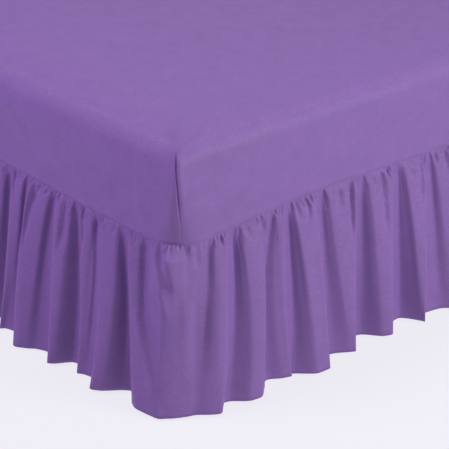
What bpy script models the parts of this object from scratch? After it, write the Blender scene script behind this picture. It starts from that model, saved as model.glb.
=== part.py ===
"""Ruffled bedspread: one plain woven top cloth with fitted walls, corner darts
and a gathered ruffle to the floor, lying on the plain mattress, base and feet
that give it its shape.

Metres, +Z up.  Origin: centre of the bed on the floor.
X runs across the bed, Y along it, the foot end is at -Y.
Solids: fitted cover (top and walls in one cloth), four ruffle strips, each
round one corner and joined at the middles of the sides, mattress, bed base
and four feet."""
import math
import bpy
import bmesh
from mathutils import Vector

# ---------------------------------------------------------------- sizes
MATTRESS_WIDTH = 1.350        # standard double
MATTRESS_LENGTH = 1.900
COVER_GAP = 0.002             # cloth clear of the mattress
COVER_THICK = 0.002
TOP_Z = 0.640                 # cloth on top of the bed
EDGE_ROUND = 0.050            # rounding between top and walls
CORNER_R_TOP = 0.050          # plan radius of the cloth corner at the top edge
CORNER_R_SEAM = 0.100         # and at the ruffle seam
WALL_LEVELS = (0.0, 0.30, 0.65, 1.0)      # share of the wall height
ROUND_ANGLES = (30.0, 60.0, 90.0)         # degrees round the top edge

HALF_X = MATTRESS_WIDTH / 2 + COVER_GAP + COVER_THICK
HALF_Y = MATTRESS_LENGTH / 2 + COVER_GAP + COVER_THICK

RUFFLE_THICK = 0.0016
RUFFLE_IN = 0.0010            # ruffle middle plane inside the cover's face
HEM_Z = 0.006                 # hem clear of the floor
SEAM_GAP = 0.0006             # between wall edge and ruffle edge
STRIP_GAP = 0.0003            # between neighbouring strips
PUFF = 0.013                  # how far the gathers puff out under the seam
RUFFLE_LEVELS = (0.0, 0.055, 0.25, 0.60, 1.0)   # share of the drop

BASE_TOP = 0.405
BASE_BOTTOM = 0.040
BASE_INSET = 0.004            # base inside the mattress outline
MATTRESS_R = 0.100
FOOT_R = 0.030
FOOT_X, FOOT_Y = 0.560, 0.820

ARC = CORNER_R_SEAM * math.pi / 4           # half of a corner's arc
LONG_ARM = HALF_Y - CORNER_R_SEAM + ARC     # corner middle to side middle
SHORT_ARM = HALF_X - CORNER_R_SEAM + ARC

# height of the ruffle seam: (distance from the corner's middle, height)
SEAM_LONG = ((0.00, 0.405), (0.07, 0.411), (0.14, 0.417), (0.24, 0.423),
             (0.34, 0.429), (0.44, 0.431), (0.56, 0.428), (0.68, 0.425),
             (0.80, 0.423), (LONG_ARM, 0.420))
SEAM_SHORT = ((0.00, 0.405), (0.10, 0.404), (0.25, 0.403), (0.36, 0.403),
              (0.46, 0.405), (0.56, 0.408), (SHORT_ARM, 0.410))

# Corner of the ruffle, from the short arm to the long arm.
#  seam: place along the seam, hem: place along the hem, reach: how far the
#  hem stands out from the wall, puff: share of the puff under the seam,
#  bow: sideways shift half way down, grow: how soon the fold deepens on its
#  way down (small: at once)
CORNER_FOLDS = (
    # seam,   hem,    reach,  puff,  bow,   grow
    (-0.134, -0.062, 0.076, 0.97, -0.002, 0.58),
    (-0.079, -0.050, 0.079, 0.13, 0.005, 0.63),
    (-0.046, -0.036, 0.084, 0.55, 0.005, 0.68),
    (-0.018, -0.021, 0.088, 1.05, -0.003, 0.28),
    (0.020, 0.011, 0.074, 0.11, 0.005, 0.64),
    (0.059, 0.025, 0.068, 0.49, -0.002, 0.29),
    (0.109, 0.057, 0.081, 0.90, 0.001, 0.91),
)
# Folds going away from the corner.  Each row is one fold: it falls back from
# the last crest, runs along a floor to a crease, rises to its own crest and
# ends at the crest's far edge.
#  seam: width of the fold at the seam, crease: place of the crease in it;
#  fall, floor, rise, crest: widths at the hem; in_, out, top, edge: reach of
#  the hem where the floor starts and ends, at the top of the rise and at the
#  crest's edge; bow_in, bow_out: sideways shift half way down of the floor
#  and of the crest; grow: how soon the fold deepens
LONG_FOLDS = (
    # seam, crease, fall, floor, rise,  crest, in_,   out,   top,   edge,  bow_in, bow_out, grow
    (0.095, 0.34, 0.015, 0.017, 0.044, 0.026, 0.045, 0.047, 0.080, 0.083, 0.014, 0.016, 0.54),
    (0.082, 0.76, 0.037, 0.028, 0.035, 0.023, 0.054, 0.031, 0.050, 0.057, -0.022, -0.013, 0.97),
    (0.091, 0.24, 0.004, 0.010, 0.045, 0.033, 0.047, 0.053, 0.088, 0.089, 0.005, 0.002, 0.61),
    (0.134, 0.26, 0.032, 0.024, 0.040, 0.012, 0.036, 0.041, 0.064, 0.069, -0.001, -0.003, 0.66),
    (0.118, 0.30, 0.027, 0.036, 0.042, 0.023, 0.008, 0.014, 0.059, 0.066, -0.001, 0.002, 0.79),
    (0.113, 0.35, 0.029, 0.040, 0.034, 0.004, 0.027, 0.016, 0.064, 0.073, 0.002, 0.006, 0.85),
    (0.092, 0.36, 0.023, 0.055, 0.028, 0.027, 0.039, 0.048, 0.067, 0.078, 0.001, 0.001, 0.73),
)
SHORT_FOLDS = (
    (0.106, 0.36, 0.055, 0.016, 0.037, 0.022, 0.031, 0.041, 0.086, 0.097, -0.014, -0.019, 0.81),
    (0.079, 0.35, 0.032, 0.024, 0.011, 0.013, 0.060, 0.064, 0.067, 0.075, -0.010, -0.011, 0.76),
    (0.084, 0.34, 0.024, 0.021, 0.027, 0.014, 0.044, 0.048, 0.089, 0.098, -0.009, -0.004, 0.52),
    (0.105, 0.23, 0.034, 0.035, 0.024, 0.029, 0.063, 0.074, 0.094, 0.108, 0.012, 0.007, 0.49),
    (0.072, 0.39, 0.048, 0.011, 0.027, 0.009, 0.057, 0.062, 0.071, 0.083, 0.002, -0.005, 0.93),
)
# the last fold before the middle of a side; what is left of the arm is its
# width, and its crest ends at the same reach on both strips
LAST_FOLD = (0.38, 0.24, 0.22, 0.27, 0.27, 0.038, 0.042, 0.064, 0.072,
             0.0, 0.0, 0.58)
MEAN_SPAN = 0.110             # a fold is measured from the mean this far about it

# strips: name, side of X, side of Y, order of the long and of the short folds
STRIPS = (
    ("ruffle_foot_right", 1, -1, (0, 1, 2, 3, 4, 5, 6), (0, 1, 2, 3, 4)),
    ("ruffle_foot_left", -1, -1, (3, 5, 0, 2, 6, 4, 1), (2, 0, 3, 1, 4)),
    ("ruffle_head_right", 1, 1, (4, 2, 6, 1, 3, 0, 5), (3, 4, 1, 0, 2)),
    ("ruffle_head_left", -1, 1, (6, 1, 4, 0, 2, 5, 3), (1, 3, 2, 4, 0)),
)


# ---------------------------------------------------------------- helpers
def clear_scene():
    for ob in list(bpy.data.objects):
        bpy.data.objects.remove(ob, do_unlink=True)


def material(name, colour, roughness):
    mat = bpy.data.materials.new(name)
    mat.use_nodes = True
    bsdf = mat.node_tree.nodes["Principled BSDF"]
    bsdf.inputs["Base Color"].default_value = (*colour, 1.0)
    bsdf.inputs["Roughness"].default_value = roughness
    bsdf.inputs["Metallic"].default_value = 0.0
    return mat


def add_solid(name, verts, faces, mat):
    """Closed mesh object with outward faces."""
    bm = bmesh.new()
    bv = [bm.verts.new(v) for v in verts]
    for f in faces:
        bm.faces.new([bv[i] for i in f])
    bm.normal_update()
    bmesh.ops.triangulate(bm, faces=bm.faces[:], quad_method='BEAUTY',
                          ngon_method='BEAUTY')
    bmesh.ops.recalc_face_normals(bm, faces=bm.faces[:])
    mesh = bpy.data.meshes.new(name)
    bm.to_mesh(mesh)
    bm.free()
    ob = bpy.data.objects.new(name, mesh)
    ob.data.materials.append(mat)
    bpy.context.collection.objects.link(ob)
    return ob


def on_table(table, x):
    """Value at x on a table of (x, value) rows."""
    x = abs(x)
    for (x0, y0), (x1, y1) in zip(table, table[1:]):
        if x <= x1:
            return y0 + (y1 - y0) * (x - x0) / (x1 - x0)
    return table[-1][1]


def seam_height(s):
    """Height of the seam at s from the corner's middle (long arm: s > 0)."""
    return on_table(SEAM_LONG if s > 0 else SEAM_SHORT, s)


# ---------------------------------------------------------------- ruffle
def corner_point(s, reach):
    """Plan point at s along the seam line and reach out of it, for the
    corner where X and Y are both positive."""
    cx, cy = HALF_X - CORNER_R_SEAM, HALF_Y - CORNER_R_SEAM
    if s >= ARC:
        return HALF_X + reach, cy - (s - ARC)
    if s <= -ARC:
        return cx - (-s - ARC), HALF_Y + reach
    phi = math.pi / 4 - s / CORNER_R_SEAM
    r = CORNER_R_SEAM + reach
    return cx + r * math.cos(phi), cy + r * math.sin(phi)


def arm_knots(folds, order, length, seam0, hem0):
    """Knots (seam, hem, reach, puff, bow, grow) of one arm, away from the
    corner."""
    knots = []
    seam, hem = seam0, hem0
    rows = [folds[i] for i in order]
    left_s = length - seam0 - sum(r[0] for r in rows)
    left_h = length - hem0 - sum(sum(r[2:6]) for r in rows)
    crease, fall, floor, rise, crest = LAST_FOLD[:5]
    rows.append((left_s, crease, fall * left_h, floor * left_h,
                 rise * left_h, crest * left_h) + LAST_FOLD[5:])
    for (width, crease, fall, floor, rise, crest, in_, out, top, edge,
         bow_in, bow_out, grow) in rows:
        c = width * crease
        knots.append((seam + 0.45 * c, hem + fall, in_, 0.45, bow_in, grow))
        knots.append((seam + c - 0.002, hem + fall + floor, out, 0.0,
                      bow_in, grow))
        knots.append((seam + c + 0.18 * (width - c),
                      hem + fall + floor + rise, top, 0.75, bow_out, grow))
        seam += width
        hem += fall + floor + rise + crest
        knots.append((seam, hem, edge, 1.0, bow_out, grow))
    return knots


def strip_knots(long_order, short_order):
    """Knots of a whole strip from the short arm's end to the long arm's."""
    first, last = CORNER_FOLDS[0], CORNER_FOLDS[-1]
    long_arm = arm_knots(LONG_FOLDS, long_order, LONG_ARM, last[0], last[1])
    short_arm = arm_knots(SHORT_FOLDS, short_order, SHORT_ARM,
                          -first[0], -first[1])
    short_arm = [(-a, -b, c, d, -e, f)
                 for a, b, c, d, e, f in reversed(short_arm)]
    return short_arm + list(CORNER_FOLDS) + long_arm


def between(k0, k1, k2, k3, t):
    """Smooth curve through the knots k1 and k2."""
    out = []
    for a, b, c, d in zip(k0, k1, k2, k3):
        m1, m2 = (c - a) * 0.5, (d - b) * 0.5
        t2, t3 = t * t, t * t * t
        out.append((2 * t3 - 3 * t2 + 1) * b + (t3 - 2 * t2 + t) * m1
                   + (3 * t2 - 2 * t3) * c + (t3 - t2) * m2)
    return out


def columns(knots):
    """Knots and the points between them where the sheet turns most."""
    cols = []
    n = len(knots)
    for i in range(n):
        cols.append(list(knots[i]))
        if i + 1 < n:
            wide = abs(knots[i + 1][1] - knots[i][1])
            deep = abs(knots[i + 1][2] - knots[i][2])
            if wide + deep > 0.036:
                k0, k3 = knots[max(i - 1, 0)], knots[min(i + 2, n - 1)]
                mid = between(k0, knots[i], knots[i + 1], k3, 0.5)
                low, high = sorted((knots[i][2], knots[i + 1][2]))
                mid[2] = min(max(mid[2], low), high)
                cols.append(mid)
    cols[0][0] += STRIP_GAP / 2
    cols[0][1] += STRIP_GAP / 2
    cols[-1][0] -= STRIP_GAP / 2
    cols[-1][1] -= STRIP_GAP / 2
    for col in cols:                                   # mean reach about it
        near = [k[2] for k in knots if abs(k[1] - col[1]) < MEAN_SPAN]
        col.append(sum(near) / len(near))
    return cols


def ruffle_line(cols, v):
    """Plan points of the ruffle's middle plane at share v of the drop."""
    pts = []
    puff = PUFF * (1 - math.exp(-v / 0.05)) * (1 - v)
    for seam, hem, reach, share, bow, grow, mean in cols:
        s = seam + (hem - seam) * v + 4 * v * (1 - v) * bow
        out = max(mean * v + (reach - mean) * v ** grow, 0.3 * reach * v)
        pts.append(Vector(corner_point(s, out + puff * share - RUFFLE_IN)))
    return pts


def normals(pts):
    """Plan normals of a line, out of the bed."""
    out = []
    for i in range(len(pts)):
        a = pts[max(i - 1, 0)]
        b = pts[min(i + 1, len(pts) - 1)]
        before = (pts[i] - a).normalized() if i > 0 else (b - pts[i]).normalized()
        after = (b - pts[i]).normalized() if i + 1 < len(pts) else before
        t = (before + after).normalized()
        n = Vector((t.y, -t.x))
        k = max(n.dot(Vector((before.y, -before.x))), 0.6)
        out.append(n / k)
    if out[0].dot(pts[0]) < 0:
        out = [-n for n in out]
    out[0], out[-1] = Vector((0.0, 1.0)), Vector((1.0, 0.0))   # square ends
    return out


def make_strip(name, side_x, side_y, long_order, short_order, mat):
    cols = columns(strip_knots(long_order, short_order))
    n, m = len(cols), len(RUFFLE_LEVELS)
    outer, inner = [], []
    for v in RUFFLE_LEVELS:
        pts = ruffle_line(cols, v)
        nor = normals(pts)
        for j, (p, q) in enumerate(zip(pts, nor)):
            top = seam_height(cols[j][0]) - SEAM_GAP / 2
            z = top + (HEM_Z - top) * v
            h = RUFFLE_THICK / 2
            outer.append((side_x * (p.x + q.x * h), side_y * (p.y + q.y * h), z))
            inner.append((side_x * (p.x - q.x * h), side_y * (p.y - q.y * h), z))
    verts = outer + inner
    off = len(outer)
    faces = []
    for i in range(m - 1):
        for j in range(n - 1):
            a, b, c, d = i * n + j, i * n + j + 1, (i + 1) * n + j + 1, (i + 1) * n + j
            faces.append((a, b, c, d))
            faces.append((off + d, off + c, off + b, off + a))
    for j in range(n - 1):
        a, b = j, j + 1
        faces.append((a, off + a, off + b, b))
        a, b = (m - 1) * n + j, (m - 1) * n + j + 1
        faces.append((b, off + b, off + a, a))
    for i in range(m - 1):
        a, b = i * n, (i + 1) * n
        faces.append((b, off + b, off + a, a))
        a, b = i * n + n - 1, (i + 1) * n + n - 1
        faces.append((a, off + a, off + b, b))
    return add_solid(name, verts, faces, mat)


# ---------------------------------------------------------------- rings
def ring(half_x, half_y, radius, corner_steps, long_stops, short_stops):
    """Plan ring: for every point (x, y, distance from its corner's middle
    along the seam, sign +1 on the long side, -1 on the short side)."""
    pts = []
    corners = ((1, -1, False), (1, 1, True), (-1, 1, False), (-1, -1, True))
    for sx, sy, flip in corners:
        # one quarter: short side's stops, corner arc, long side's stops
        quarter = []
        cx, cy = half_x - radius, half_y - radius
        stops = short_stops if flip else (0.0,) + tuple(short_stops)
        for share in stops:                 # from the side's middle outwards
            quarter.append((cx * share, half_y, -(SHORT_ARM - (SHORT_ARM - ARC) * share)))
        for k in range(corner_steps + 1):
            phi = math.pi / 2 * (1 - k / corner_steps)
            quarter.append((cx + radius * math.cos(phi),
                            cy + radius * math.sin(phi),
                            ARC * (2 * k / corner_steps - 1)))
        stops = long_stops if flip else tuple(long_stops) + (0.0,)
        for share in stops:                 # from the corner to the middle
            quarter.append((half_x, cy * share, LONG_ARM - (LONG_ARM - ARC) * share))
        if flip:
            quarter.reverse()
        pts += [(sx * x, sy * y, s) for x, y, s in quarter]
    return pts


def skin(rings, closed_top=True, closed_bottom=True):
    """Vertices and faces of rings joined one above the other."""
    n = len(rings[0])
    verts = [p for r in rings for p in r]
    faces = []
    for i in range(len(rings) - 1):
        for j in range(n):
            k = (j + 1) % n
            faces.append((i * n + j, i * n + k, (i + 1) * n + k, (i + 1) * n + j))
    if closed_bottom:
        faces.append(tuple(reversed(range(n))))
    if closed_top:
        faces.append(tuple((len(rings) - 1) * n + j for j in range(n)))
    return verts, faces


def share_stops(table, arm):
    """Stops of a side, as shares of its straight half, at the table's rows."""
    stops = [(arm - x) / (arm - ARC) for x, _ in table if x > ARC + 0.01]
    return [max(min(s, 0.995), 0.0) for s in stops]


def make_cover(mat):
    long_stops = share_stops(SEAM_LONG, LONG_ARM)[:-1]
    short_stops = list(reversed(share_stops(SEAM_SHORT, SHORT_ARM)[:-1]))
    wall_top = TOP_Z - EDGE_ROUND

    def level(inset, lift):
        rings = []
        for u in WALL_LEVELS:
            r = CORNER_R_SEAM + (CORNER_R_TOP - CORNER_R_SEAM) * u ** 0.8 - inset
            flat = ring(HALF_X - inset, HALF_Y - inset, r, 6, long_stops, short_stops)
            rings.append([(x, y, (seam_height(s) + SEAM_GAP / 2) * (1 - u)
                           + wall_top * u) for x, y, s in flat])
        for a in ROUND_ANGLES:
            a = math.radians(a)
            back = EDGE_ROUND * (1 - math.cos(a)) * (1 - lift / EDGE_ROUND) + inset
            r = max(CORNER_R_TOP - back, 0.010)
            z = wall_top + (EDGE_ROUND - lift) * math.sin(a)
            flat = ring(HALF_X - back, HALF_Y - back, r, 6, long_stops, short_stops)
            rings.append([(x, y, z) for x, y, s in flat])
        return rings

    outside = level(0.0, 0.0)
    inside = level(COVER_THICK, COVER_THICK)
    n = len(outside[0])
    verts, faces = skin(outside, True, False)
    v2, f2 = skin(inside, True, False)
    off = len(verts)
    verts += v2
    faces += [tuple(off + i for i in reversed(f)) for f in f2]
    for j in range(n):
        k = (j + 1) % n
        faces.append((k, j, off + j, off + k))
    return add_solid("fitted_cover", verts, faces, mat)


def make_block(name, half_x, half_y, radius, z0, z1, edge, mat):
    """Plain block with rounded corners and softened top and bottom edges."""
    rings = []
    steps = ((edge, z0, 0.0), (edge * 0.3, z0, 0.3), (0.0, z0, 1.0),
             (0.0, z1, -1.0), (edge * 0.3, z1, -0.3), (edge, z1, 0.0))
    for inset, z, rise in steps:
        flat = ring(half_x - inset, half_y - inset, radius - inset, 6, (0.5,), (0.5,))
        rings.append([(x, y, z + rise * edge) for x, y, s in flat])
    verts, faces = skin(rings)
    return add_solid(name, verts, faces, mat)


def make_foot(name, x, y, mat):
    rings = []
    for r, z in ((FOOT_R, 0.0), (FOOT_R, BASE_BOTTOM - 0.0003)):
        rings.append([(x + r * math.cos(2 * math.pi * k / 24),
                       y + r * math.sin(2 * math.pi * k / 24), z)
                      for k in range(24)])
    verts, faces = skin(rings)
    return add_solid(name, verts, faces, mat)


# ---------------------------------------------------------------- build
clear_scene()
PURPLE = (0.225, 0.118, 0.385)
make_cover(material("cover_cloth", PURPLE, 0.85))
for strip in STRIPS:
    make_strip(*strip, material(strip[0] + "_cloth", PURPLE, 0.85))
make_block("mattress", MATTRESS_WIDTH / 2, MATTRESS_LENGTH / 2, MATTRESS_R,
           BASE_TOP + 0.0003, TOP_Z - COVER_THICK - COVER_GAP, 0.052,
           material("mattress_ticking", (0.80, 0.78, 0.74), 0.9))
make_block("bed_base", MATTRESS_WIDTH / 2 - BASE_INSET,
           MATTRESS_LENGTH / 2 - BASE_INSET, MATTRESS_R - BASE_INSET,
           BASE_BOTTOM, BASE_TOP, 0.006,
           material("base_cloth", (0.55, 0.53, 0.50), 0.9))
for i, (sx, sy) in enumerate(((1, -1), (-1, -1), (1, 1), (-1, 1)), 1):
    make_foot("bed_foot_%d" % i, sx * FOOT_X, sy * FOOT_Y,
              material("foot_%d_plastic" % i, (0.05, 0.05, 0.05), 0.5))
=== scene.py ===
import math
import bmesh
import bpy
import numpy as np
from mathutils import Matrix, Vector


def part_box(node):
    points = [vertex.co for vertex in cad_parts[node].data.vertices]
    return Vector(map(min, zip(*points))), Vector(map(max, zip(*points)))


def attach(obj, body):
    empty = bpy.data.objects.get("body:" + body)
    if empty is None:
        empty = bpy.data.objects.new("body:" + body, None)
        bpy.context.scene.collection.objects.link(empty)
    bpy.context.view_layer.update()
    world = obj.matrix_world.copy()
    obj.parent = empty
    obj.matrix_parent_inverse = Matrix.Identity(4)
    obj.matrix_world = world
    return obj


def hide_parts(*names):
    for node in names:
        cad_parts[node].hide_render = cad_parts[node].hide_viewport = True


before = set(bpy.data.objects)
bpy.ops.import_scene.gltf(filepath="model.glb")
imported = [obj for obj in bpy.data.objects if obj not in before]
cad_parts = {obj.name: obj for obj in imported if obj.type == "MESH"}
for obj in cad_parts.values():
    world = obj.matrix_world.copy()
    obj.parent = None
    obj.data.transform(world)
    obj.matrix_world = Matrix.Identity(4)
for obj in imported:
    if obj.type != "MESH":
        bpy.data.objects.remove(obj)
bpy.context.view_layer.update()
PI = math.pi

# ---------------------------------------------------------------- sizes (as in the CAD)
HALF_X, HALF_Y = 0.679, 0.954
R_SEAM, R_LOW, R_TOP = 0.100, 0.070, 0.028   # corner radius of the hem line, of the seam, of the wall
TOP_Z, HEM_Z = 0.640, 0.006
SIDE_IN, SIDE_DOWN = 0.046, 0.042  # rounding of the top edge at the long sides
END_IN, END_DOWN = 0.056, 0.055    # and at the foot and the head
SIDE_SAG, END_SAG = 0.000, 0.014   # how far the top dips towards those edges
ARC = R_SEAM * PI / 4
LONG_ARM, SHORT_ARM = HALF_Y - R_SEAM + ARC, HALF_X - R_SEAM + ARC
PUFF = 0.0170                      # how far the ruffle swells out under the seam
COLS, ROWS = 1150, 82              # of the strip in the photographed corner

# height of the seam under the wall: (distance from the corner's middle, height)
SEAM_LONG = ((0.00, 0.411), (0.03, 0.412), (0.06, 0.4115), (0.10, 0.4135),
             (0.14, 0.417), (0.24, 0.423), (0.34, 0.429), (0.44, 0.431),
             (0.56, 0.428), (0.68, 0.425), (0.80, 0.423), (LONG_ARM, 0.420))
SEAM_SHORT = ((0.00, 0.411), (0.02, 0.4105), (0.04, 0.4085), (0.06, 0.4057),
              (0.08, 0.4042), (0.10, 0.404), (0.25, 0.403), (0.36, 0.403),
              (0.46, 0.405), (0.56, 0.408), (SHORT_ARM, 0.410))

# the ruffle at the corner: seam place, hem place, hem reach, share of the puff,
# sideways shift half way down, and how soon the fold deepens (small: at once)
CORNER_FOLDS = (
    # seam,   hem,     reach,  puff, bow,  grow
    (-0.1339, -0.0624, 0.0760, 0.97, -0.0015, 0.58),
    (-0.0791, -0.0498, 0.0794, 0.13, 0.0050, 0.63),
    (-0.0462, -0.0358, 0.0843, 0.55, 0.0051, 0.68),
    (-0.0175, -0.0210, 0.0878, 1.05, -0.0031, 0.28),
    (0.0197, 0.0108, 0.0741, 0.11, 0.0052, 0.64),
    (0.0593, 0.0255, 0.0683, 0.49, -0.0016, 0.29),
    (0.1093, 0.0570, 0.0814, 0.90, 0.0005, 0.91),
)
# folds away from the corner: seam width and crease place; widths at the hem of
# the fall, floor, rise and crest; hem reach at floor start, floor end, top of
# the rise and crest edge; sideways shift half way down of the floor and of the
# crest; how soon the fold deepens
LONG_FOLDS = (
    # seam, crease, fall, floor,  rise,   crest,  in_,    out,    top,    edge,   bow_in, bow_out, grow
    (0.0946, 0.34, 0.0153, 0.0170, 0.0439, 0.0257, 0.0446, 0.0473, 0.0796, 0.0826, 0.0144, 0.0160, 0.54),
    (0.0820, 0.76, 0.0367, 0.0275, 0.0351, 0.0233, 0.0541, 0.0309, 0.0498, 0.0568, -0.0224, -0.0133, 0.97),
    (0.0911, 0.24, 0.0038, 0.0098, 0.0453, 0.0329, 0.0466, 0.0527, 0.0881, 0.0892, 0.0055, 0.0024, 0.61),
    (0.1342, 0.26, 0.0318, 0.0242, 0.0395, 0.0121, 0.0357, 0.0406, 0.0638, 0.0688, -0.0005, -0.0028, 0.66),
    (0.1185, 0.30, 0.0268, 0.0361, 0.0422, 0.0226, 0.0078, 0.0136, 0.0591, 0.0664, -0.0005, 0.0015, 0.79),
    (0.1133, 0.35, 0.0290, 0.0402, 0.0343, 0.0045, 0.0271, 0.0158, 0.0639, 0.0733, 0.0024, 0.0063, 0.85),
    (0.0918, 0.36, 0.0232, 0.0549, 0.0277, 0.0266, 0.0394, 0.0477, 0.0669, 0.0778, 0.0012, 0.0008, 0.73),
)
SHORT_FOLDS = (
    (0.1062, 0.36, 0.0547, 0.0158, 0.0367, 0.0223, 0.0308, 0.0405, 0.0856, 0.0970, -0.0137, -0.0188, 0.81),
    (0.0794, 0.35, 0.0317, 0.0243, 0.0105, 0.0125, 0.0601, 0.0637, 0.0674, 0.0746, -0.0099, -0.0109, 0.76),
    (0.0836, 0.34, 0.0244, 0.0208, 0.0273, 0.0138, 0.0438, 0.0478, 0.0886, 0.0977, -0.0087, -0.0042, 0.52),
    (0.1054, 0.23, 0.0344, 0.0352, 0.0240, 0.0287, 0.0630, 0.0745, 0.0941, 0.1082, 0.0121, 0.0073, 0.49),
    (0.0721, 0.39, 0.0483, 0.0110, 0.0269, 0.0093, 0.0573, 0.0622, 0.0711, 0.0826, 0.0023, -0.0050, 0.93),
)
LAST_FOLD = (0.38, 0.24, 0.22, 0.27, 0.27, 0.038, 0.042, 0.064, 0.072, 0.0, 0.0, 0.58)
STRIPS = (
    # name, side of X, side of Y, order of the long and the short folds, seed
    ("ruffle_foot_right", 1, -1, (0, 1, 2, 3, 4, 5, 6), (0, 1, 2, 3, 4), 11),
    ("ruffle_foot_left", -1, -1, (3, 5, 0, 2, 6, 4, 1), (2, 0, 3, 1, 4), 23),
    ("ruffle_head_right", 1, 1, (4, 2, 6, 1, 3, 0, 5), (3, 4, 1, 0, 2), 37),
    ("ruffle_head_left", -1, 1, (6, 1, 4, 0, 2, 5, 3), (1, 3, 2, 4, 0), 53),
)
# gathers under the seam near the photographed corner: place, how much of the
# swell they take away, depth of the groove below, its length, its lean
GATHERS = (
    (-0.5327, 0.68, 0.0010, 0.0436, 0.18),
    (-0.4982, 0.80, 0.0040, 0.0486, 0.12),
    (-0.4248, 0.72, 0.0024, 0.0290, 0.11),
    (-0.3848, 0.74, 0.0027, 0.0411, 0.12),
    (-0.3462, 0.79, 0.0027, 0.0520, -0.13),
    (-0.3122, 0.87, 0.0034, 0.0374, -0.07),
    (-0.2778, 0.83, 0.0038, 0.0402, 0.36),
    (-0.2227, 0.62, 0.0022, 0.0271, -0.01),
    (-0.1806, 0.73, 0.0010, 0.0467, 0.20),
    (-0.0948, 0.84, 0.0032, 0.0380, 0.27),
    (-0.0840, 0.41, 0.0011, 0.0255, 0.00),
    (-0.0436, 0.76, 0.0028, 0.0512, 0.33),
    (-0.0297, 0.35, 0.0015, 0.0102, -0.10),
    (0.0110, 0.95, 0.0056, 0.0340, 0.12),
    (0.0388, 0.96, 0.0077, 0.0685, 0.04),
    (0.0687, 0.68, 0.0019, 0.0339, -0.06),
    (0.1326, 0.99, 0.0073, 0.0530, -0.08),
    (0.1551, 1.00, 0.0009, 0.0725, -0.27),
    (0.1744, 0.49, 0.0020, 0.0351, -0.02),
    (0.2222, 1.00, 0.0101, 0.0736, 0.56),
    (0.2580, 0.87, 0.0044, 0.0517, 0.05),
    (0.2773, 0.37, 0.0012, 0.0433, -0.02),
    (0.3166, 1.00, 0.0055, 0.0397, -0.14),
    (0.3278, 0.65, 0.0029, 0.0485, -0.03),
    (0.3673, 0.29, 0.0008, 0.0346, -0.25),
    (0.4189, 0.92, 0.0043, 0.0505, -0.10),
    (0.4661, 0.89, 0.0041, 0.0621, -0.11),
    (0.5123, 0.62, 0.0020, 0.0640, -0.28),
    (0.5506, 0.85, 0.0028, 0.0427, -0.01),
    (0.6074, 0.61, 0.0027, 0.0729, 0.08),
    (0.6661, 0.82, 0.0047, 0.0373, -0.07),
    (0.6781, 0.58, 0.0001, 0.0243, -0.16),
    (0.7061, 0.80, 0.0038, 0.0490, -0.08),
    (0.7570, 0.92, 0.0064, 0.0555, -0.03),
    (0.7867, 0.54, 0.0017, 0.0346, 0.10),
)


# ---------------------------------------------------------------- shapes
def pchip(x, y, xi):
    """Smooth curve through the points that never overshoots them."""
    x, y = np.asarray(x, float), np.asarray(y, float)
    h = np.diff(x)
    d = np.diff(y) / h
    m = np.zeros_like(y)
    same = d[:-1] * d[1:] > 0
    w1, w2 = 2 * h[1:] + h[:-1], h[1:] + 2 * h[:-1]
    with np.errstate(divide="ignore", invalid="ignore"):
        hm = (w1 + w2) / (w1 / d[:-1] + w2 / d[1:])
    m[1:-1] = np.where(same, hm, 0.0)
    m[0], m[-1] = d[0], d[-1]
    i = np.clip(np.searchsorted(x, xi) - 1, 0, len(h) - 1)
    t = (xi - x[i]) / h[i]
    t2, t3 = t * t, t * t * t
    return ((2 * t3 - 3 * t2 + 1) * y[i] + (t3 - 2 * t2 + t) * h[i] * m[i]
            + (3 * t2 - 2 * t3) * y[i + 1] + (t3 - t2) * h[i] * m[i + 1])


def seam_height(s):
    a = np.abs(s)
    lo = pchip(*zip(*SEAM_LONG), np.minimum(a, LONG_ARM))
    sh = pchip(*zip(*SEAM_SHORT), np.minimum(a, SHORT_ARM))
    return np.where(s > 0, lo, sh)


def corner_xy(s, reach, radius=R_SEAM):
    """Plan point at s along the seam and reach out of it, and the outward
    direction, for the corner where X and Y are both positive. A tighter
    radius keeps the straight sides where they are."""
    half = radius * PI / 4
    along = np.clip(s / ARC, -1, 1) * (R_SEAM - radius + half)
    phi = PI / 4 * (1 - np.clip(along / half, -1, 1))
    extra = np.maximum(np.abs(along) - half, 0) + np.maximum(np.abs(s) - ARC, 0)
    nx, ny = np.cos(phi), np.sin(phi)
    x = HALF_X - radius + (radius + reach) * nx
    y = HALF_Y - radius + (radius + reach) * ny
    return x - np.where(s < 0, extra, 0), y - np.where(s > 0, extra, 0), nx, ny


def ease(t):
    t = np.clip(t, 0, 1)
    return t * t * (3 - 2 * t)


def arm_knots(folds, order, length, seam0, hem0):
    knots = []
    seam, hem = seam0, hem0
    rows = [folds[i] for i in order]
    left_s = length - seam0 - sum(r[0] for r in rows)
    left_h = length - hem0 - sum(sum(r[2:6]) for r in rows)
    crease, fall, floor, rise, crest = LAST_FOLD[:5]
    rows.append((left_s, crease, fall * left_h, floor * left_h,
                 rise * left_h, crest * left_h) + LAST_FOLD[5:])
    for (width, crease, fall, floor, rise, crest, in_, out, top, edge,
         bow_in, bow_out, grow) in rows:
        c = width * crease
        knots.append((seam + 0.45 * c, hem + fall, in_, 0.45, bow_in, grow))
        knots.append((seam + c - 0.002, hem + fall + floor, out, 0.0, bow_in, grow))
        knots.append((seam + c + 0.18 * (width - c),
                      hem + fall + floor + rise, top, 0.75, bow_out, grow))
        seam += width
        hem += fall + floor + rise + crest
        knots.append((seam, hem, edge, 1.0, bow_out, grow))
    return knots


def strip_knots(long_order, short_order):
    first, last = CORNER_FOLDS[0], CORNER_FOLDS[-1]
    long_arm = arm_knots(LONG_FOLDS, long_order, LONG_ARM, last[0], last[1])
    short_arm = arm_knots(SHORT_FOLDS, short_order, SHORT_ARM, -first[0], -first[1])
    short_arm = [(-a, -b, c, d, -e, f) for a, b, c, d, e, f in reversed(short_arm)]
    return np.array(short_arm + list(CORNER_FOLDS) + long_arm)


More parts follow.
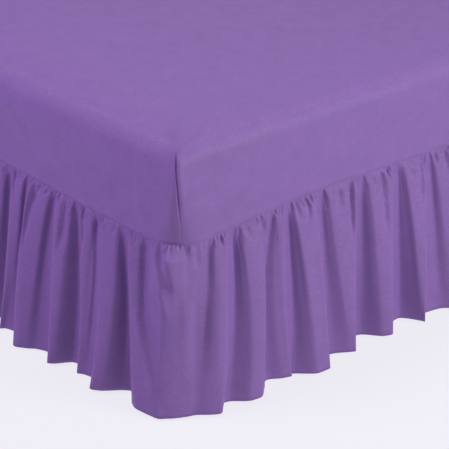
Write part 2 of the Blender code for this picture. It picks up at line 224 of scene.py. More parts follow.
def smooth_ends(x, k):
    """Moving average of odd width k that keeps the ends."""
    pad = np.concatenate([np.full(k // 2, x[0]), x, np.full(k // 2, x[-1])])
    return np.convolve(pad, np.ones(k) / k, mode="valid")


def gather_rows(seed, rows):
    """Gathers along the whole strip: the ones given, and between them finer
    ones, no two alike."""
    rng = np.random.RandomState(seed)
    out = [row + (0.0036,) for row in rows]
    taken = np.array([r[0] for r in rows]) if rows else np.array([9.0])
    lo, hi = (taken.min(), taken.max()) if rows else (9.0, 9.0)
    s = -SHORT_ARM + 0.01
    while s < LONG_ARM - 0.01:                  # larger gathers, 2 to 4 cm apart
        if not lo - 0.02 < s < hi + 0.02:
            out.append((s, rng.uniform(0.5, 0.9), rng.uniform(0.0014, 0.0042),
                        rng.uniform(0.02, 0.08), rng.uniform(-0.3, 0.3), 0.0036))
        s += rng.uniform(0.018, 0.040)
    s = -SHORT_ARM + 0.004
    while s < LONG_ARM - 0.004:                 # fine ones, about 7 mm apart
        if np.min(np.abs(taken - s)) > 0.005:
            out.append((s, rng.uniform(0.50, 1.0), rng.uniform(0.0014, 0.0044),
                        rng.uniform(0.008, 0.032), rng.uniform(-0.35, 0.30), 0.0021))
        s += rng.uniform(0.0045, 0.0100)
    return out


def streaks(rng, u, v, length, amount, count=14):
    """Long soft unevenness that runs down the cloth."""
    out = 0.0
    for _ in range(count):
        k = 2 * PI / length * rng.uniform(0.6, 1.7)
        out = out + np.sin(k * u + rng.uniform(0, 6.28) + rng.uniform(-5, 5) * v)
    return out * amount / math.sqrt(count / 2)


def parabola(v, v0, v1, v2, p0, p1, p2):
    """Through p0, p1 and p2 at v0, v1 and v2."""
    return (p0 * (v - v1) * (v - v2) / ((v0 - v1) * (v0 - v2))
            + p1 * (v - v0) * (v - v2) / ((v1 - v0) * (v1 - v2))
            + p2 * (v - v0) * (v - v1) / ((v2 - v0) * (v2 - v1)))


def crease_relief(rows, S, drops):
    """Soft troughs and ridges, each along a curve down the cloth. They swell
    quickly and die away slowly, or run on into the seam or the hem."""
    out = np.zeros_like(S)
    for p0, v0, p1, v1, p2, v2, rise, w0, w2, skew in rows:
        mid = parabola(np.clip(drops, v0, v2), v0, v1, v2, p0, p1, p2)
        q = (drops - v0) / (v2 - v0)
        start = np.ones_like(q) if v0 < 0.02 else ease(q / 0.22)
        end = np.ones_like(q) if v2 > 0.99 else ease((1 - q) / 0.45)
        power = np.where((q < 0) | (q > 1), 0.0, start * end)
        wide = w0 + (w2 - w0) * np.clip(q, 0, 1)
        d = (S - mid[:, None]) / wide[:, None]
        d = np.where(d > 0, d * (1 + skew), d * (1 - skew))
        out += rise * power[:, None] * np.exp(-d * d)
    return out


def ruffle_surface(long_order, short_order, seed, gathers, n_cols, drops, creases=()):
    """Points (rows, columns, 3) of a strip for the corner where X and Y are
    both positive, and its cloth coordinates."""
    K = strip_knots(long_order, short_order)
    k = len(K)
    t = np.linspace(0, k - 1, (k - 1) * 60 + 1)
    idx = np.arange(k)
    seam, hem, reach, puff, bow, grow = (pchip(idx, K[:, c], t) for c in range(6))
    # columns at even steps along the cloth, measured at the hem and the seam
    x, y, _, _ = corner_xy(hem, reach)
    step = np.hypot(np.diff(x), np.diff(y)) + 0.35 * np.abs(np.diff(seam))
    run = np.concatenate([[0], np.cumsum(step)])
    at = np.interp(np.linspace(0, run[-1], n_cols), run, t)
    seam, hem, reach, puff, bow, grow = (np.interp(at, t, a)
                                         for a in (seam, hem, reach, puff, bow, grow))
    soft = int(0.012 / (run[-1] / n_cols)) | 1        # no crest is sharper than this
    hem, reach = smooth_ends(hem, soft), smooth_ends(reach, soft)
    x, y, _, _ = corner_xy(hem, reach)
    cloth = np.concatenate([[0], np.cumsum(np.hypot(np.diff(x), np.diff(y)))])

    # mean reach and the folds about it
    wide = int(n_cols * 0.13 / cloth[-1] * 1.4) | 1
    mean = smooth_ends(smooth_ends(reach, wide), wide)
    fold = reach - mean

    v = drops[:, None]
    rng = np.random.RandomState(seed)
    S = seam[None] + (hem - seam)[None] * v + 4 * v * (1 - v) * bow[None]
    if not gathers:                  # the strips away from the photographed corner
        sway = sum(a * np.sin(2 * PI * seam[None] / L + rng.uniform(0, 6.28) + b * v)
                   for a, L, b in ((0.0030, 0.21, 2.0), (0.0020, 0.093, -3.0)))
        to_end = np.minimum(LONG_ARM - seam, SHORT_ARM + seam)[None]
        S = S + sway * np.sin(PI * v) * np.clip(to_end / 0.03, 0, 1)
    D = mean[None] * v ** 1.02 + fold[None] * v ** grow[None]

    drop = v * 0.40
    sharp = 0.0045 + 0.0055 * np.exp(-((seam[None] + 0.020) / 0.030) ** 2)
    swell = 0.45 * (1 - np.exp(-drop / sharp)) + 0.55 * (1 - np.exp(-drop / 0.024))
    swell = swell * (1 - v) ** 1.1 * (0.10 + 0.90 * puff[None])
    left = np.ones_like(D)
    groove = np.zeros_like(D)
    for s0, share, depth, length, lean, w in gather_rows(seed, gathers):
        near = np.abs(seam - s0) < 0.05
        c = s0 + lean * drop
        ww = w * (1 + drop / 0.030)
        fade = np.clip(1 - drop / length, 0, 1) ** 0.8
        g = fade * np.exp(-((seam[None, near] - c) / ww) ** 2)
        left[:, near] *= 1 - share * g
        groove[:, near] += depth * g * (1 - np.exp(-drop / 0.0042))
    D += PUFF * swell * left - groove
    D += streaks(rng, cloth[None], v, 0.060, 0.0004 if gathers else 0.0009) * np.sin(PI * np.clip(v * 1.1, 0, 1)) ** 0.7
    D += streaks(rng, cloth[None], v, 0.028, 0.00022) * np.exp(-v / 0.35) * (1 - np.exp(-v / 0.04))

    D += crease_relief(creases, S, drops) * (1 - np.exp(-v / 0.035))
    R = R_LOW + (R_SEAM - R_LOW) * ease(v / 0.6)
    D = 0.5 * (D + np.sqrt(D * D + 0.003 ** 2)) - 0.0015 - 0.0015 * v
    for end in (0, -1):              # both ends hang straight, sewn to the next width
        near = np.clip(1 - np.abs(seam - seam[end]) / 0.030, 0, 1)[None]
        S = S + (seam[end] - S[:, [end]]) * near

    X, Y, NX, NY = corner_xy(S, D, R)
    top = seam_height(seam)[None] + 0.0015
    Z = top + (HEM_Z - top) * v
    P = np.stack([X, Y, np.broadcast_to(Z, X.shape)], -1)
    # the hem is turned up inside
    g = np.gradient(P[-1, :, :2], axis=0)
    inward = np.stack([g[:, 1], -g[:, 0]], -1) / np.hypot(*g.T)[:, None]
    rise = (P[-2] - P[-1]) / (P[-2, :, 2] - P[-1, :, 2])[:, None]
    turned = []
    for off, up in ((0.0006, -0.0001), (0.0012, 0.0006), (0.0018, 0.0120)):
        q = P[-1] + rise * up
        q[:, :2] += inward * off
        for end in (0, -1):          # it stops where its own strip stops
            k = int(np.argmin(np.abs(P[-1, end, :2])))
            q[end, k] = P[-1, end, k]
        turned.append(q)
    P = np.concatenate([P, np.stack(turned)])
    return P, cloth, seam, hem


def drop_rows(n):
    """Shares of the drop: close together under the seam, even below."""
    t = np.linspace(0, 1, n)
    return 0.22 * t + 0.78 * t ** 2.0


# ---------------------------------------------------------------- mesh helpers
def grid_object(name, P, mat, uv=None, flip=False, closed=False):
    rows, cols = P.shape[:2]
    i, j = np.meshgrid(np.arange(rows - 1), np.arange(cols if closed else cols - 1),
                       indexing="ij")
    a = i * cols + j
    b = i * cols + (j + 1) % cols
    c = (i + 1) * cols + (j + 1) % cols
    d = (i + 1) * cols + j
    q = np.stack([a, b, c, d] if not flip else [d, c, b, a], -1).reshape(-1, 4)
    me = bpy.data.meshes.new(name)
    me.vertices.add(rows * cols)
    me.vertices.foreach_set("co", P.reshape(-1).astype(np.float32))
    me.loops.add(q.size)
    me.loops.foreach_set("vertex_index", q.reshape(-1).astype(np.int32))
    me.polygons.add(len(q))
    me.polygons.foreach_set("loop_start", (np.arange(len(q)) * 4).astype(np.int32))
    me.polygons.foreach_set("use_smooth", np.ones(len(q), bool))
    me.update(calc_edges=True)
    me.validate()
    if uv is not None:
        layer = me.uv_layers.new(name="cloth")
        layer.data.foreach_set("uv", uv.reshape(-1, 2)[q.reshape(-1)].reshape(-1).astype(np.float32))
    ob = bpy.data.objects.new(name, me)
    ob.data.materials.append(mat)
    bpy.context.collection.objects.link(ob)
    return ob


def quads_object(name, verts, faces, mat, smooth=True):
    me = bpy.data.meshes.new(name)
    me.from_pydata([tuple(p) for p in verts], [], [tuple(f) for f in faces])
    me.update()
    if smooth:
        me.polygons.foreach_set("use_smooth", np.ones(len(me.polygons), bool))
    ob = bpy.data.objects.new(name, me)
    ob.data.materials.append(mat)
    bpy.context.collection.objects.link(ob)
    return ob


# ---------------------------------------------------------------- materials
def new_material(name):
    mat = bpy.data.materials.new(name)
    mat.use_nodes = True
    nt = mat.node_tree
    return mat, nt, nt.nodes["Principled BSDF"]


def link(nt, a, b):
    nt.links.new(a, b)


def node(nt, kind, **values):
    n = nt.nodes.new(kind)
    for k, val in values.items():
        if k in n.inputs:
            n.inputs[k].default_value = val
        else:
            setattr(n, k, val)
    return n


def cloth_material(name, colour, roughness=0.60, sheen=0.0, thread=0.0007,
                   weave_bump=0.25):
    """Plain weave: crossed threads as bump, a little colour unevenness."""
    mat, nt, bsdf = new_material(name)
    bsdf.inputs["Roughness"].default_value = roughness
    bsdf.inputs["Sheen Weight"].default_value = sheen
    bsdf.inputs["Sheen Roughness"].default_value = 0.45
    bsdf.inputs["Specular IOR Level"].default_value = 0.30
    uv = nt.nodes.new("ShaderNodeUVMap")
    uv.uv_map = "cloth"
    co = nt.nodes.new("ShaderNodeTexCoord")
    waves = []
    for direction in ("X", "Y"):
        w = nt.nodes.new("ShaderNodeTexWave")
        w.wave_type = "BANDS"
        w.bands_direction = direction
        w.wave_profile = "SIN"
        w.inputs["Scale"].default_value = 0.314 / thread / 2
        w.inputs["Distortion"].default_value = 0.6
        w.inputs["Detail"].default_value = 1.0
        link(nt, uv.outputs["UV"], w.inputs["Vector"])
        waves.append(w)
    weave = node(nt, "ShaderNodeMath", operation="MULTIPLY")
    link(nt, waves[0].outputs["Fac"], weave.inputs[0])
    link(nt, waves[1].outputs["Fac"], weave.inputs[1])
    fuzz = nt.nodes.new("ShaderNodeTexNoise")
    fuzz.inputs["Scale"].default_value = 420.0
    fuzz.inputs["Detail"].default_value = 3.0
    link(nt, co.outputs["Object"], fuzz.inputs["Vector"])
    both = node(nt, "ShaderNodeMath", operation="MULTIPLY_ADD")
    both.inputs[1].default_value = 0.8
    link(nt, fuzz.outputs["Fac"], both.inputs[0])
    link(nt, weave.outputs[0], both.inputs[2])
    bump = nt.nodes.new("ShaderNodeBump")
    bump.inputs["Strength"].default_value = weave_bump
    bump.inputs["Distance"].default_value = 0.0003
    link(nt, both.outputs[0], bump.inputs["Height"])
    link(nt, bump.outputs["Normal"], bsdf.inputs["Normal"])
    # slubs and slight unevenness of the dye
    blotch = nt.nodes.new("ShaderNodeTexNoise")
    blotch.inputs["Scale"].default_value = 26.0
    blotch.inputs["Detail"].default_value = 5.0
    blotch.inputs["Roughness"].default_value = 0.65
    link(nt, co.outputs["Object"], blotch.inputs["Vector"])
    ramp = nt.nodes.new("ShaderNodeValToRGB")
    ramp.color_ramp.elements[0].position = 0.25
    ramp.color_ramp.elements[1].position = 0.75
    ramp.color_ramp.elements[0].color = (*[c * 0.93 for c in colour], 1)
    ramp.color_ramp.elements[1].color = (*[min(c * 1.06, 1) for c in colour], 1)
    link(nt, blotch.outputs["Fac"], ramp.inputs["Fac"])
    slubs = []
    for stretch in ((150.0, 560.0, 1.0), (560.0, 150.0, 1.0)):
        way = nt.nodes.new("ShaderNodeMapping")
        way.inputs["Scale"].default_value = stretch
        link(nt, uv.outputs["UV"], way.inputs["Vector"])
        n = nt.nodes.new("ShaderNodeTexNoise")
        n.inputs["Scale"].default_value = 1.0
        n.inputs["Detail"].default_value = 1.0
        link(nt, way.outputs["Vector"], n.inputs["Vector"])
        slubs.append(n)
    crossed = node(nt, "ShaderNodeMath", operation="ADD")
    link(nt, slubs[0].outputs["Fac"], crossed.inputs[0])
    link(nt, slubs[1].outputs["Fac"], crossed.inputs[1])
    uneven = node(nt, "ShaderNodeMath", operation="MULTIPLY_ADD")
    uneven.inputs[1].default_value = 0.34
    uneven.inputs[2].default_value = 0.66
    link(nt, crossed.outputs[0], uneven.inputs[0])
    dyed = node(nt, "ShaderNodeVectorMath", operation="SCALE")
    link(nt, ramp.outputs["Color"], dyed.inputs[0])
    link(nt, uneven.outputs[0], dyed.inputs["Scale"])
    link(nt, dyed.outputs[0], bsdf.inputs["Base Color"])
    return mat


def plain_material(name, colour, roughness, scale=60.0, bump=0.1, vary=0.05,
                   distance=0.0005):
    mat, nt, bsdf = new_material(name)
    bsdf.inputs["Roughness"].default_value = roughness
    co = nt.nodes.new("ShaderNodeTexCoord")
    noise = nt.nodes.new("ShaderNodeTexNoise")
    noise.inputs["Scale"].default_value = scale
    noise.inputs["Detail"].default_value = 4.0
    link(nt, co.outputs["Object"], noise.inputs["Vector"])
    ramp = nt.nodes.new("ShaderNodeValToRGB")
    ramp.color_ramp.elements[0].color = (*[c * (1 - vary) for c in colour], 1)
    ramp.color_ramp.elements[1].color = (*[min(c * (1 + vary), 1) for c in colour], 1)
    link(nt, noise.outputs["Fac"], ramp.inputs["Fac"])
    link(nt, ramp.outputs["Color"], bsdf.inputs["Base Color"])
    b = nt.nodes.new("ShaderNodeBump")
    b.inputs["Strength"].default_value = bump
    b.inputs["Distance"].default_value = distance
    link(nt, noise.outputs["Fac"], b.inputs["Height"])
    link(nt, b.outputs["Normal"], bsdf.inputs["Normal"])
    return mat


PURPLE = (0.212, 0.113, 0.347)
M_COVER = cloth_material("cover_cloth_fine", PURPLE)
M_RUFFLE = cloth_material("ruffle_cloth_fine", PURPLE)
M_TICKING = plain_material("ticking_fine", (0.80, 0.78, 0.74), 0.85, 240.0, 0.3)
M_BASE = plain_material("base_cloth_fine", (0.56, 0.54, 0.50), 0.9, 320.0, 0.4)
M_FOOT = plain_material("foot_plastic_fine", (0.045, 0.045, 0.045), 0.45, 90.0, 0.1)


# ---------------------------------------------------------------- ruffle
# creases at the photographed corner, each along a curve through three
# places (place under the seam, share of the drop): height (troughs below
# zero), half width at its start and end, how much steeper the far side is
CREASES = (
    # place,  drop, place,  drop, place,  drop, rise,    width,  width,  skew
    (-0.4756, 0.00, -0.4898, 0.10, -0.4893, 0.45, -0.0115, 0.0103, 0.0072, -0.06),
    (-0.3778, 0.00, -0.3730, 0.14, -0.3727, 0.35, -0.0096, 0.0056, 0.0083, -0.60),
    (-0.3138, 0.00, -0.2996, 0.10, -0.3115, 0.34, -0.0066, 0.0049, 0.0069, 0.48),
    (-0.2630, 0.00, -0.2631, 0.28, -0.2511, 0.74, -0.0035, 0.0028, 0.0127, 0.18),
    (-0.0953, 0.00, -0.0747, 0.33, -0.0411, 0.76, -0.0108, 0.0063, 0.0167, -0.56),
    (-0.0848, 0.40, -0.0467, 0.72, -0.0208, 1.04, 0.0037, 0.0062, 0.0075, 0.33),
    (-0.0434, 0.00, -0.0421, 0.18, -0.0248, 0.41, -0.0010, 0.0062, 0.0076, 0.19),
    (0.0181, 0.28, 0.0136, 0.60, 0.0096, 0.90, 0.0051, 0.0104, 0.0129, 0.21),
    (0.0706, 0.00, 0.0481, 0.45, 0.0261, 0.93, -0.0108, 0.0093, 0.0248, 0.65),
    (0.3598, 0.00, 0.3561, 0.12, 0.3476, 0.16, -0.0070, 0.0028, 0.0062, 0.17),
    (0.5008, 0.00, 0.4977, 0.14, 0.4903, 0.35, -0.0113, 0.0063, 0.0042, 0.16),
    (0.6047, 0.00, 0.6079, 0.16, 0.6064, 0.44, -0.0067, 0.0057, 0.0110, 0.33),
    (0.7344, 0.00, 0.7359, 0.12, 0.7224, 0.30, -0.0087, 0.0030, 0.0059, -0.14),
)


# shallow drag lines on the big fold at the corner, written in the same way
DRAGS = (
    (-0.0470, 0.00, -0.0226, 0.18, -0.0112, 0.36, -0.0034, 0.0072, 0.0080, 0.20),
    (-0.0180, 0.03, -0.0100, 0.14, -0.0030, 0.29, 0.0084, 0.0150, 0.0075, -0.35),
    (-0.0385, 0.23, -0.0225, 0.335, -0.0165, 0.45, 0.0052, 0.0085, 0.0085, 0.30),
    (-0.0560, 0.02, -0.0350, 0.16, -0.0225, 0.34, 0.0048, 0.0075, 0.0070, 0.20),
)


def creases(name):
    """The creases of a strip: as seen at the photographed corner, varied at
    the others."""
    if name == "ruffle_foot_right":
        return CREASES + DRAGS
    rng = np.random.RandomState(len(name) + ord(name[7]) + ord(name[-1]))
    out = []
    for p0, v0, p1, v1, p2, v2, rise, w0, w2, skew in CREASES:
        a, b, f = rng.uniform(-0.012, 0.012), rng.uniform(-0.01, 0.01), rng.uniform(0.4, 1.0)
        out.append((p0 + a, v0, p1 + a + b, v1, p2 + a + b, v2, rise * f, w0, w2, skew))
    return tuple(out)


def make_ruffle(name, side_x, side_y, long_order, short_order, seed):
    gathers = GATHERS if name == "ruffle_foot_right" else ()
    n_cols, n_rows = (COLS, ROWS) if gathers else (860, 62)
    drops = drop_rows(n_rows)
    P, cloth, seam, hem = ruffle_surface(long_order, short_order, seed, gathers,
                                         n_cols, drops, creases(name))
    P = P * np.array([side_x, side_y, 1.0])
    down = np.concatenate([drops * 0.41, [0.4108, 0.4116, 0.4232]])
    uv = np.stack([np.broadcast_to(cloth[None], P.shape[:2]),
                   np.broadcast_to(-down[:, None], P.shape[:2])], -1)
    ob = grid_object(name + "_cloth", P, M_RUFFLE, uv, flip=side_x * side_y > 0)
    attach(ob, "root")
    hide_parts(name)
    return ob


# ---------------------------------------------------------------- cover
DART_TOP, DART_LOW, DART_END = -0.0085, 0.0066, 0.36    # places at the wall's top and bottom; share of the height where it ends


def cover_columns():
    """Places along the seam of one quarter, dense at the dart."""
    right = np.concatenate([np.arange(0, 0.030, 0.0010), np.arange(0.030, 0.13, 0.0030),
                            np.arange(0.13, LONG_ARM, 0.0065)])
    left = np.concatenate([np.arange(0.0010, 0.062, 0.0010), np.arange(0.062, 0.13, 0.0030),
                           np.arange(0.13, SHORT_ARM, 0.0065)])
    return np.concatenate([-left[::-1], right])


def wall_relief(s, val, over=0.0):
    """How far the wall stands out at s and a share val of its height (over: how
    far round the top edge): the sewn dart, the seam's own thickness and a few
    slack places."""
    dart = DART_LOW + (DART_TOP - DART_LOW) * val - 0.0026 * over
    held = ease((val - DART_END + 0.13) / 0.50) * (1 + 1.4 * over)
    d = s - dart
    # the dart is a tuck: a sharp furrow, a full rounded lip on the long side
    out = -0.0036 * held * np.exp(-np.abs(d / (0.0012 + 0.0006 * val)) ** 1.6)
    out += 0.0022 * held * np.exp(-((d - 0.0095) / 0.0080) ** 2)
    out += 0.0007 * held * np.exp(-((d + 0.0050) / 0.0022) ** 2)
    # the furrow goes on as a faint line of stitches
    out -= 0.0004 * (1 - held) * ease(val / 0.05) * np.exp(-(d / 0.0016) ** 2)
    # seam allowance inside the lower edge
    out += 0.0018 * np.exp(-((val - 0.045) / 0.040) ** 2)
    # drag lines at the top of the dart
    for c, t, w, amount, slope in ((-0.080, 0.93, 0.012, -0.0010, 0.10),
                                   (-0.075, 0.88, 0.010, 0.0010, 0.12),
                                   (-0.090, 0.83, 0.016, -0.0006, 0.16)):
        line = t - slope * (s - c) / 0.05
        out += amount * np.exp(-((val - line) / (w / 0.2)) ** 2) * np.exp(-((s - c) / 0.030) ** 2)
    return out


def make_cover():
    q = cover_columns()
    quarters = []
    for sx, sy, flip in ((1, -1, False), (1, 1, True), (-1, 1, False), (-1, -1, True)):
        s = q[::-1] if flip else q
        quarters.append((sx, sy, s))
    walls = np.concatenate([[-0.012, -0.006, 0.0, 0.008, 0.018, 0.030, 0.044, 0.060, 0.078, 0.10, 0.125],
                            np.linspace(0.15, 1.0, 30)])
    rounds = np.radians(np.linspace(4, 90, 20))
    insets = SIDE_IN + np.array([0.012, 0.028, 0.048, 0.072, 0.10, 0.135, 0.18, 0.23, 0.28,
                                    0.33, 0.38, 0.43, 0.47, 0.50])
    rows = []
    for kind, val in ([("w", u) for u in walls] + [("r", a) for a in rounds]
                      + [("t", m) for m in insets]):
        ring = []
        for sx, sy, s in quarters:
            # the rounding of the top edge changes from side to end round the corner
            side = ease((s + 0.05) / 0.10)
            down = END_DOWN + (SIDE_DOWN - END_DOWN) * side
            sag = END_SAG + (SIDE_SAG - END_SAG) * side
            wall_top = TOP_Z - sag - down
            if kind == "w":
                h = max(val, 0.0)
                rad, keen = R_LOW + (R_TOP - R_LOW) * h, h
                back, back_y, z = 0.0, 0.0, seam_height(s) * (1 - h) + wall_top * h
                out = wall_relief(s, h)
                if val < 0:              # the lower edge rolls under to the seam
                    out = out - 0.0016 * (val / -0.012) ** 2
                    z = z - 0.0006 * (val / -0.012)
                out = out - 0.0014 * np.sin(PI * h)
            elif kind == "r":
                h = 1.0
                rad = R_TOP + 0.010 * math.sin(val)
                keen = math.sqrt(max(math.cos(val), 0))
                back = SIDE_IN * (1 - math.cos(val))
                back_y = END_IN * (1 - math.cos(val))
                z = wall_top + down * math.sin(val)
                fade = 1 - ease((val - math.radians(42)) / math.radians(26))
                out = wall_relief(s, 1.0, val / math.radians(35)) * fade
            else:
                rad, keen = R_TOP + 0.010, 0.0
                back, back_y = val, val + END_IN - SIDE_IN
                z = TOP_Z - sag * (1 - min((val - SIDE_IN) / 0.16, 1)) ** 2
                out = 0.0
            hx, hy = HALF_X - back, HALF_Y - back_y
            r = max(rad - back, 0.008) + 0.55 * max(back - SIDE_IN, 0)
            r = min(r, 0.9 * hx)
            # the corner turns tightly at the dart and slowly on the long side
            spread = 0.0 if kind == "t" else 0.35 * ease(h / 0.3)
            reach = max(R_SEAM, (1 + spread) * r)
            x, y, nx, ny = 0.0, 0.0, 0.0, 0.0
            for part in (1 - spread, 1.0, 1 + spread):       # so that its arc starts softly
                ri = part * r
                rx, ry = ri * (1 - 0.68 * keen), ri * (1 + 0.10 * keen)
                half = ri * PI / 4
                along = np.clip(s / ARC, -1, 1) * (reach - ri + half)
                phi = PI / 4 * (1 - np.clip(along / half, -1, 1))
                extra = np.maximum(np.abs(along) - half, 0) / max(reach - ri, 1e-6)
                cx, cy = np.cos(phi), np.sin(phi)
                x = x + (hx - rx + rx * cx - np.where(s < 0, extra * (reach - rx), 0)) / 3
                y = y + (hy - ry + ry * cy - np.where(s > 0, extra * (reach - ry), 0)) / 3
                nx, ny = nx + cx / rx, ny + cy / ry
            nx, ny = nx / np.hypot(nx, ny), ny / np.hypot(nx, ny)
            y = np.where(s > ARC, (hy - reach) * (LONG_ARM - s) / (LONG_ARM - ARC), y)
            x = np.where(s < -ARC, (hx - reach) * (SHORT_ARM + s) / (SHORT_ARM - ARC), x)
            x, y = x + nx * out, y + ny * out
            ring.append(np.stack([sx * x, sy * y, z], -1))
        rows.append(np.concatenate(ring))
    P = np.stack(rows)
    # soft unevenness of the top and the walls
    x, y, z = P[..., 0].copy(), P[..., 1].copy(), P[..., 2].copy()
    level = np.clip((z - 0.62) / 0.02, 0, 1)
    crown = 0.004 * (1 - (x / HALF_X) ** 4) * (1 - (y / HALF_Y) ** 4)
    inset = np.minimum(HALF_X - np.abs(x), HALF_Y - np.abs(y))
    inner = 1 - ease((inset - 0.36) / 0.2)
    swell = (0.0010 * np.sin(5.1 * x + 1.3) * np.sin(4.3 * y + 0.4)
             + 0.0006 * np.sin(13 * x - 7 * y) + 0.0004 * np.sin(17 * y + 9 * x + 2))
    P[..., 2] += level * (np.minimum(crown, 0.0038) + swell * inner)
    wall = (1 - level) * np.clip((z - 0.43) / 0.05, 0, 1)
    slack = 0.0009 * np.sin(11 * x + 9 * y + 14 * z) + 0.0007 * np.sin(23 * y - 17 * x + 31 * z + 1)
    on_side = np.abs(x) > HALF_X - 0.03
    away = np.where(on_side, HALF_Y - np.abs(y), HALF_X - np.abs(x))     # from the corner
    slack = slack * wall * ease((away - 0.07) / 0.12)
    P[..., 0] += np.where(on_side, slack * np.sign(x), 0.0)
    P[..., 1] += np.where(on_side, 0.0, slack * np.sign(y))
    rings, cols = P.shape[:2]
    uv = np.stack([P[..., 0], P[..., 1]], -1)
    wall_rows = len(walls) + len(rounds)
    run = np.cumsum(np.hypot(*np.diff(P[0, :, :2], axis=0, prepend=P[0, :1, :2]).T))
    uv[:wall_rows, :, 0] = run[None]
    uv[:wall_rows, :, 1] = P[:wall_rows, :, 2]
    ob = grid_object("fitted_cover_cloth", P, M_COVER, uv, closed=True)
    me = ob.data
    bm = bmesh.new()
    bm.from_mesh(me)
    bm.verts.ensure_lookup_table()
    last = [bm.verts[(rings - 1) * cols + j] for j in range(cols)]
    f = bm.faces.new(last)
    f.smooth = True
    bmesh.ops.triangulate(bm, faces=[f])
    bmesh.ops.recalc_face_normals(bm, faces=bm.faces[:])
    bm.to_mesh(me)
    bm.free()
    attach(ob, "root")
    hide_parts("fitted_cover")
    return ob


# ---------------------------------------------------------------- bed
def rounded_ring(hx, hy, r, z, n=10, m=6):
    pts = []
    for k, (sx, sy) in enumerate(((1, 1), (-1, 1), (-1, -1), (1, -1))):
        for i in range(n + 1):
            a = k * PI / 2 + i * PI / 2 / n
            pts.append((sx * (hx - r) + r * math.cos(a), sy * (hy - r) + r * math.sin(a), z))
        nxt = ((-1, 1), (-1, -1), (1, -1), (1, 1))[k]
        a = (k + 1) * PI / 2
        p0 = np.array(pts[-1])
        p1 = np.array((nxt[0] * (hx - r) + r * math.cos(a), nxt[1] * (hy - r) + r * math.sin(a), z))
        for i in range(1, m):
            pts.append(tuple(p0 + (p1 - p0) * i / m))
    return pts


def ring_block(name, rings, mat):
    n = len(rings[0])
    verts = [p for r in rings for p in r]
    faces = [(i * n + j, i * n + (j + 1) % n, (i + 1) * n + (j + 1) % n, (i + 1) * n + j)
             for i in range(len(rings) - 1) for j in range(n)]
    faces.append(tuple(reversed(range(n))))
    faces.append(tuple((len(rings) - 1) * n + j for j in range(n)))
    return quads_object(name, verts, faces, mat)


def make_mattress():
    lo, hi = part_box("mattress")
    hx, hy = (hi[0] - lo[0]) / 2, (hi[1] - lo[1]) / 2
    rings = []
    edge = 0.045
    for a in np.linspace(-90, 0, 7):
        c, s = math.cos(math.radians(a)), math.sin(math.radians(a))
        rings.append(rounded_ring(hx - edge * (1 - c), hy - edge * (1 - c),
                                  0.10 - edge * (1 - c), lo[2] + edge * (1 + s)))
        if a == 0:
            break
    # taped edges stand a little proud of the slightly hollow border
    upper, top = 0.110, hi[2] - 0.009
    for z, o in ((lo[2] + 0.049, 0.0), (lo[2] + 0.055, -0.002), (0.5 * (lo[2] + hi[2]), -0.004),
                 (top - upper - 0.010, -0.002), (top - upper - 0.004, 0.0)):
        rings.append(rounded_ring(hx + o, hy + o, 0.10 + o, z))
    for a in np.linspace(0, 90, 10):
        c, s = math.cos(math.radians(a)), math.sin(math.radians(a))
        rings.append(rounded_ring(hx - upper * (1 - c), hy - upper * (1 - c),
                                  0.10 - 0.8 * upper * (1 - c), top - upper * (1 - s)))
    ob = ring_block("mattress_body", rings, M_TICKING)
    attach(ob, "root")
    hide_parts("mattress")
    return ob


def make_base():
    lo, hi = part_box("bed_base")
    hx, hy = (hi[0] - lo[0]) / 2, (hi[1] - lo[1]) / 2
    rings = []
    for z, o in ((lo[2], -0.012), (lo[2], -0.006), (lo[2] + 0.002, -0.0015), (lo[2] + 0.006, 0.0),
                 (lo[2] + 0.012, -0.0006), (0.5 * (lo[2] + hi[2]) - 0.003, -0.0006),
                 (0.5 * (lo[2] + hi[2]), -0.0018), (0.5 * (lo[2] + hi[2]) + 0.003, -0.0006),
                 (hi[2] - 0.010, -0.0006), (hi[2] - 0.004, -0.001), (hi[2] - 0.001, -0.004),
                 (hi[2], -0.010)):
        rings.append(rounded_ring(hx + o, hy + o, 0.096 + o, z))
    ob = ring_block("bed_base_body", rings, M_BASE)
    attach(ob, "root")
    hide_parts("bed_base")
    return ob


def make_foot(n):
    lo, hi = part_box("bed_foot_%d" % n)
    cx, cy = (lo[0] + hi[0]) / 2, (lo[1] + hi[1]) / 2
    rings = []
    for r, z in ((0.024, 0.0), (0.0285, 0.0012), (0.030, 0.004), (0.030, 0.012), (0.026, 0.018),
                 (0.0245, 0.028), (0.026, 0.034), (0.030, 0.0365), (0.030, hi[2])):
        rings.append([(cx + r * math.cos(2 * PI * k / 40), cy + r * math.sin(2 * PI * k / 40), z)
                      for k in range(40)])
    ob = ring_block("bed_foot_%d_body" % n, rings, M_FOOT)
    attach(ob, "root")
    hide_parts("bed_foot_%d" % n)
    return ob


make_cover()
for row in STRIPS:
    make_ruffle(*row)
make_mattress()
make_base()
for n in (1, 2, 3, 4):
    make_foot(n)

# ---------------------------------------------------------------- floor
M_FLOOR, nt, bsdf = new_material("floor_pale")
bsdf.inputs["Base Color"].default_value = (0.10, 0.098, 0.104, 1)
bsdf.inputs["Roughness"].default_value = 0.9
bsdf.inputs["Specular IOR Level"].default_value = 0.1
bsdf.inputs["Emission Color"].default_value = (0.945, 0.932, 0.992, 1)
bsdf.inputs["Emission Strength"].default_value = 0.815
floor = quads_object("floor", [(-9, -9, 0), (9, -9, 0), (9, 9, 0), (-9, 9, 0)],
                     [(0, 1, 2, 3)], M_FLOOR, smooth=False)

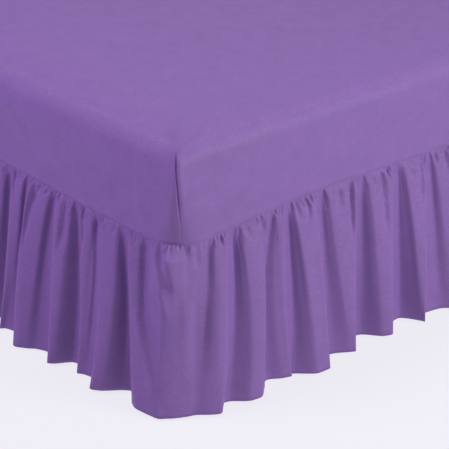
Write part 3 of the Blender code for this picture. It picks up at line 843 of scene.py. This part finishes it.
# ---------------------------------------------------------------- camera
CAM_AZ, CAM_EL, CAM_F, CAM_D = 48.8563, 25.1128, 2000.0, 4.4035
AIM_RIGHT, AIM_UP = 0.1034, 0.0590
a, e = math.radians(CAM_AZ), math.radians(CAM_EL)
back = Vector((math.sin(a) * math.cos(e), -math.cos(a) * math.cos(e), math.sin(e)))
right = Vector((math.cos(a), math.sin(a), 0.0))
up = back.cross(right)
eye = Vector((HALF_X, -HALF_Y, 0.41)) + right * AIM_RIGHT + up * AIM_UP + back * CAM_D
cam = bpy.data.cameras.new("camera")
cam.sensor_width = 36.0
cam.lens = CAM_F / 449.0 * 36.0
cam.clip_end = 50.0
cam_ob = bpy.data.objects.new("camera", cam)
m = Matrix((right, up, back)).transposed().to_4x4()
m.translation = eye
cam_ob.matrix_world = m
bpy.context.collection.objects.link(cam_ob)
bpy.context.scene.camera = cam_ob


# ---------------------------------------------------------------- light
def softbox(name, azimuth, elevation, distance, size, watts, colour=(1, 1, 1)):
    """Square soft light seen from the photographed corner towards azimuth
    (degrees from +X towards +Y) and elevation."""
    az, el = math.radians(azimuth), math.radians(elevation)
    d = Vector((math.cos(az) * math.cos(el), math.sin(az) * math.cos(el), math.sin(el)))
    aim = Vector((0.55, -0.80, 0.35))
    lamp = bpy.data.lights.new(name, "AREA")
    lamp.shape = "RECTANGLE"
    lamp.size = size[0]
    lamp.size_y = size[1]
    lamp.energy = watts
    lamp.color = colour
    ob = bpy.data.objects.new(name, lamp)
    ob.location = aim + d * distance
    ob.rotation_euler = d.to_track_quat("Z", "Y").to_euler()
    bpy.context.collection.objects.link(ob)
    return ob


softbox("key_right", 30, 35, 4.5, (1.6, 1.6), 143)
softbox("low_right", 4, 20, 4.5, (1.6, 1.6), 32)
softbox("high_left", -122, 57, 4.5, (1.6, 1.6), 114, (0.97, 0.90, 1.04))
softbox("low_left", -122, 12, 4.5, (1.6, 1.6), 27, (0.72, 0.26, 1.13))
softbox("far_left", -150, 30, 4.5, (1.6, 1.6), 18, (0.93, 0.79, 1.06))
softbox("back", 139, 32, 5.0, (2.4, 1.6), 20)
softbox("back_right", 104, 48, 5.0, (1.8, 1.6), 27)
softbox("back_left", 165, 42, 5.0, (1.8, 1.6), 14)
world = bpy.data.worlds.new("studio")
world.use_nodes = True
world.node_tree.nodes["Background"].inputs["Color"].default_value = (0.93, 0.92, 1.0, 1)
world.node_tree.nodes["Background"].inputs["Strength"].default_value = 0.03
bpy.context.scene.world = world
bpy.context.scene.view_settings.view_transform = "Standard"
bpy.context.scene.view_settings.look = "None"
bpy.context.scene.view_settings.exposure = 0.0
